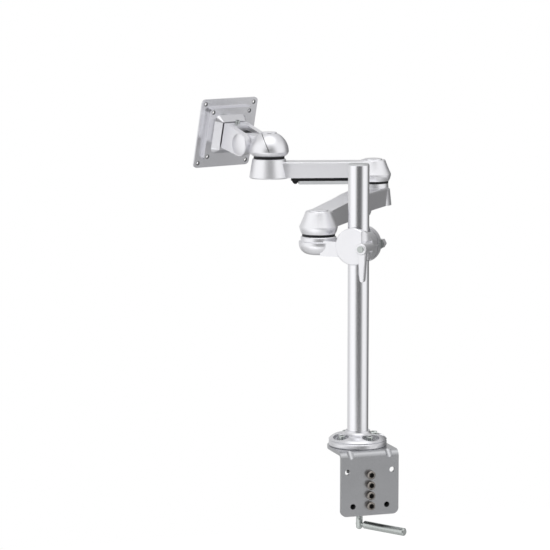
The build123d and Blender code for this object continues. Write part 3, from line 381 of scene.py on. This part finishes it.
# Friction rings, washers and the cable guide: black acetal, turned or moulded, slightly
# polished where they run.
black_plastic = Finish("black_acetal", {"Specular IOR Level": 0.2})
scuff = black_plastic.noise(900.0, 3.0)
black_plastic.lay(
    Base_Color=black_plastic.between(scuff, (0.008, 0.008, 0.009), (0.02, 0.02, 0.022)),
    Roughness=0.3 + 0.25 * scuff,
    Normal=black_plastic.bump(scuff, 0.00003),
)
black_plastic.on("shoulder_ring", "elbow_ring", "swivel_ring", "cable_guide")
black_plastic.on("tilt_washers", "pivot_washer")


# Upper link: the same casting and paint, bright on its two bells and blasted to a matter, paler
# satin on the straight bar between them.
def along(recipe, place, axis):
    """How far a place lies along an axis: their dot product."""
    values = {0: place, 1: tuple(axis)}
    return recipe.node("ShaderNodeVectorMath", {"operation": "DOT_PRODUCT"}, values, 1)


def from_middle(finish, middle, axis):
    """How far a point of the piece is from a middle point, measured along an axis."""
    offset = along(finish, finish.place, axis) - float(middle @ axis)
    return offset.maths("ABSOLUTE", offset, 0.0)


def ramp(recipe, value, none, full, blend="LINEAR"):
    """Goes from 0 where the value is none to 1 where it is full, and stays there beyond."""
    values = {"Value": value, "From Min": float(none), "From Max": float(full)}
    return recipe.node("ShaderNodeMapRange", {"interpolation_type": blend}, values)


bell_reach, matt_reach = 0.026, 0.036
bar_ends = np.array([np.mean(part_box(ring), 0) for ring in ("elbow_ring", "swivel_ring")])
bar_span = (bar_ends[1] - bar_ends[0]) * (1.0, 1.0, 0.0)
bar_half = np.linalg.norm(bar_span) / 2
bar_along = bar_span / (2 * bar_half)
link_paint = Finish("silver_paint_link", {})
mica = link_paint.noise(5200.0, 1.0)
from_bar = from_middle(link_paint, bar_ends.mean(0), bar_along)
matt = ramp(link_paint, from_bar, bar_half - bell_reach, bar_half - matt_reach)
link_paint.lay(
    Base_Color=link_paint.between(mica, (0.83, 0.83, 0.86), (0.91, 0.91, 0.935)),
    Metallic=0.74 - 0.5 * matt,
    Roughness=0.24 + 0.1 * mica,
    Normal=link_paint.bump(mica, 0.00002),
)
link_paint.on("upper_arm")


# Dome joint: a thin black strip laid where the cover shell meets the head casting, in two
# lengths, one on each side of the cap on top. It is painted shade for the shade down in the joint.
dome_round, dome_lift = 0.0318, 0.0078
ring_low, ring_high = np.array(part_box("swivel_ring"))
dome_centre = np.append((ring_low + ring_high)[:2] / 2, ring_high[2] + dome_lift)
joint_out = np.array((0.875, -0.293, 0.387))
joint_along = np.array((0.317, 0.948, 0.0))
joint_up = np.cross(joint_out, joint_along)
seam_shade_deep, seam_shade_half_deep, seam_shade_middle, seam_shade_half = 0.0014, 0.0008, 0.0005, 0.00046
seam_shade_steps, seam_shade_sides = 60, 16
seam_shade_lengths = (("near", 82.0, 1.0), ("far", 179.0, 98.0))


def seam_shade(name, start, stop):
    """A rounded square section carried along an arc of the dome, from start to stop degrees."""
    sweep = np.radians(np.linspace(start, stop, seam_shade_steps))[:, None, None]
    loop = circle_angles(seam_shade_sides)[None, :, None]
    deep = np.sign(np.cos(loop)) * np.sqrt(np.abs(np.cos(loop)))
    wide = np.sign(np.sin(loop)) * np.sqrt(np.abs(np.sin(loop)))
    outward = np.cos(sweep) * joint_along + np.sin(sweep) * joint_up
    radius = dome_round - seam_shade_deep + seam_shade_half_deep * deep
    sideways = seam_shade_middle + seam_shade_half * wide
    return skin(name, dome_centre + radius * outward + sideways * joint_out)


for side, start, stop in seam_shade_lengths:
    dome_seam_shade = seam_shade("dome_seam_shade_" + side, start, stop)
    # The black rubber on this strip is painted shade in the joint.
    dome_seam_shade.data.materials.append(rubber.material)
    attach(dome_seam_shade, "head")


# Tilt caps: low domed discs in the castings' paint, pressed over both ends of the hinge pin,
# each with a small step round its foot.
head_yaw, plate_tilt = radians(111.2), radians(13.0)
hinge = np.mean(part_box("tilt_pin"), 0)
hinge_axis = np.array((-sin(head_yaw), cos(head_yaw), 0.0))
head_out = np.array((cos(head_yaw), sin(head_yaw), 0.0))
plumb = np.array((0.0, 0.0, 1.0))
plate_out = cos(plate_tilt) * head_out + sin(plate_tilt) * plumb
plate_up = cos(plate_tilt) * plumb - sin(plate_tilt) * head_out
cap_seat, cap_round, cap_foot = 0.023, 0.0184, 0.0004
cap_edge, cap_edge_lift, cap_groove, cap_rise = 0.0174, 0.0006, 0.0002, 0.0024
cap_steps, cap_sides, cap_eye = 32, 96, 0.02


def domed_cap(name, side):
    """A turned foot, a fine groove, then a dome that rises as one less the radius squared."""
    inward = np.linspace(1.0, cap_eye, cap_steps)
    radii = np.concatenate([[cap_round, cap_round, cap_edge], cap_edge * inward])
    domed = cap_edge_lift + cap_rise * (1 - inward**2)
    heights = np.concatenate([[0.0, cap_foot, cap_groove], domed])
    first, second = (plate_up, plate_out) if side > 0 else (plate_out, plate_up)
    loop = circle_angles(cap_sides)[:, None]
    circle = np.cos(loop) * first + np.sin(loop) * second
    middle = hinge + side * (cap_seat + heights)[:, None, None] * hinge_axis
    return skin(name, middle + radii[:, None, None] * circle)


for name, side in (("tilt_cap_near", 1), ("tilt_cap_far", -1)):
    tilt_cap = domed_cap(name, side)
    tilt_cap.data.materials.append(cast_paint.material)
    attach(tilt_cap, "yoke")
    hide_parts("tilt_caps")


# Slot shade: a black strip in the rings' acetal, hollow to the hinge barrel's curve, as painted
# shade for the dark slot between the yoke's cheeks, on the plate's side of the barrel. It turns
# with the yoke.
slot_shade_round, slot_shade_back, slot_shade_half, slot_shade_wrap, slot_shade_steps = 0.0183, 0.0259, 0.0126, 50.0, 40
wrap = np.radians(np.linspace(-slot_shade_wrap, slot_shade_wrap, slot_shade_steps))
# Its edge is an arc round the hinge, closed by two corners straight behind the arc's ends.
slot_shade_arc = slot_shade_round * np.stack([np.cos(wrap), np.sin(wrap)], -1)
slot_shade_corners = np.array((slot_shade_back, 0.0)) + slot_shade_arc[[-1, 0]] * (0.0, 1.0)
outs, ups = np.concatenate([slot_shade_arc, slot_shade_corners]).T[:, :, None]
slot_shade_ends = hinge + np.array((-slot_shade_half, slot_shade_half))[:, None, None] * hinge_axis
slot_shade = skin("hinge_slot_shade", slot_shade_ends + outs * plate_out + ups * plate_up)
# The black acetal on this strip is painted shade for the slot.
slot_shade.data.materials.append(black_plastic.material)
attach(slot_shade, "yoke")


# Mounting plate: pressed steel sheet, punched for the two display patterns, with bright faces of
# a fine satin grain. It turns on a bolt in the tilting yoke.
hole_spreads, hole_rim_shade, hole_edge, rim_shade_depth = (0.05, 0.0375), 0.0042, 0.0028, 0.9
plate_metal = Finish("satin_plate", {"Metallic": 1.0})
grain_turn, grain_scale = (0.0, 0.0, -head_yaw), (900.0, 22.0, 1500.0)
satin = plate_metal.noise(1.0, 3.0, plate_metal.turned(grain_turn, grain_scale))
bright_face = plate_metal.between(satin, (0.67, 0.67, 0.70), (0.79, 0.79, 0.82))


def rim_shade(spread):
    """Painted shade round the holes: 1 at a hole's punched edge and 0 a little outside it, for the
    square of four holes.
    """
    aside = from_middle(plate_metal, hinge, hinge_axis) - spread
    above = from_middle(plate_metal, hinge, plate_up) - spread
    return ramp(plate_metal, aside * aside + above * above, hole_rim_shade**2, hole_edge**2)


# The dark rings round the holes are painted shade, for the shade on the holes' walls.
rim_shades = rim_shade(hole_spreads[0]) + rim_shade(hole_spreads[1])
plate_metal.lay(
    Base_Color=plate_metal.mix(rim_shade_depth * rim_shades, bright_face, (0.04, 0.04, 0.045, 1.0)),
    Roughness=0.18 + 0.14 * satin,
    Normal=plate_metal.bump(satin, 0.00002),
)
plate_metal.on("vesa_plate")


# Floor: a pale sheet a desk's height below the clamp, which keeps the object's shadow. The
# camera sees it white, and mirrors see it bright far out in front and dark behind.
floor_half, floor_height, floor_grey = 2.4, -0.73, (0.7, 0.7, 0.7, 1.0)
frontward, front_glow, middle_glow = (-0.7, -0.7, 0.0), (1.0, 1.9), (-1.1, -0.2)
seen_strength, middle_strength = 0.8, 0.3
floor_square = np.array([(-1, -1, 0), (1, -1, 0), (1, 1, 0), (-1, 1, 0)])
floor_corners = floor_half * floor_square + floor_height * plumb
floor_mesh = bpy.data.meshes.new("floor")
floor_mesh.from_pydata(floor_corners.tolist(), [], [(0, 1, 2, 3)])
floor = bpy.data.objects.new("floor", floor_mesh)
bpy.context.scene.collection.objects.link(floor)


def mirror_rays(recipe):
    """1 on a ray that a shiny or clear surface sends out, and 0 on any other."""
    glossy = recipe.node("ShaderNodeLightPath", output="Is Glossy Ray")
    return glossy + recipe.node("ShaderNodeLightPath", output="Is Transmission Ray")


paper = Finish("pale_floor", {"Base Color": floor_grey, "Roughness": 1.0})
seen = paper.node("ShaderNodeLightPath", output="Is Camera Ray")
ahead = along(paper, paper.place, frontward)
glow = middle_strength * ramp(paper, ahead, *middle_glow) + ramp(paper, ahead, *front_glow)
white = paper.between(seen_strength * seen + glow * mirror_rays(paper), (0, 0, 0), (1, 1, 1))
paper.lay(Emission_Color=white, Emission_Strength=1.0)
floor_mesh.materials.append(paper.material)


# Studio: a pale room. Shiny pieces mirror bright screens left, right and overhead, and two dark
# cloths: one by the camera draws the dark line down each round piece, one hangs far behind.
# Two large soft panels light what is matt.
world = bpy.data.worlds.new("studio")
world.use_nodes = True
bpy.context.scene.world = world
sky = Recipe(world.node_tree)
toward = sky.node("ShaderNodeTexCoord", output="Generated")


def patch(heading, drop, edge, core):
    """Share of a cloth or screen: 1 within core degrees of a direction, 0 beyond edge degrees."""
    flat = cos(radians(drop))
    middle = (flat * cos(radians(heading)), flat * sin(radians(heading)), -sin(radians(drop)))
    facing = along(sky, toward, middle)
    return ramp(sky, facing, cos(radians(edge)), cos(radians(core)), "SMOOTHSTEP")


room_light, mirrored_light = 0.26, 0.5
left_screen = 0.36 * patch(heading=187.0, drop=-10.0, edge=55.0, core=20.0)
right_screen = 0.3 * patch(heading=313.0, drop=-10.0, edge=50.0, core=20.0)
top_screen = 0.9 * patch(heading=262.0, drop=-74.0, edge=40.0, core=12.0)
near_cloth = 0.81 * patch(heading=257.0, drop=2.0, edge=48.0, core=8.0)
far_cloth = 0.75 * patch(heading=34.5, drop=5.0, edge=45.0, core=15.0)
screens = left_screen + right_screen + top_screen
surround = room_light + mirror_rays(sky) * (mirrored_light + screens)
dimmed = surround * (1 - near_cloth) * (1 - far_cloth)
direct = sky.node("ShaderNodeLightPath", output="Is Camera Ray")
backdrop = {"Color": (1.0, 1.0, 1.0, 1.0), "Strength": direct + (1 - direct) * dimmed}
sky.feed(world.node_tree.nodes["Background"], backdrop)

lit_point = Vector((0.0, 0.15, 0.25))
panels = (
    ("panel_front", (-1.22, -1.95, 1.47), 1.6, 53.0),
    ("panel_top", (-0.1, 0.1, 2.2), 2.0, 4.0),
)
for name, spot, size, power in panels:
    lamp = bpy.data.lights.new(name, "AREA")
    lamp.shape = "SQUARE"
    lamp.size, lamp.energy = size, power
    panel = bpy.data.objects.new(name, lamp)
    panel.location = spot
    panel.visible_glossy = False
    aim = lit_point - panel.location
    panel.rotation_euler = aim.to_track_quat("-Z", "Y").to_euler()
    bpy.context.scene.collection.objects.link(panel)


# Camera: a long lens from the left of the bracket's plate, looking a little down. Its focal
# length is given in pixels of a square picture.
picture_pixels, focal_pixels, camera_drop, camera_turn = 550.0, 2550.0, 7.9, -18.5
lens = bpy.data.cameras.new("camera")
lens.sensor_width = 36.0
lens.lens = focal_pixels / picture_pixels * lens.sensor_width
camera = bpy.data.objects.new("camera", lens)
camera.location = (-1.3242, -3.5624, 0.7937)
camera.rotation_euler = (radians(90.0 - camera_drop), 0.0, radians(camera_turn))
bpy.context.scene.collection.objects.link(camera)
bpy.context.scene.camera = camera
bpy.context.scene.view_settings.view_transform = "Standard"
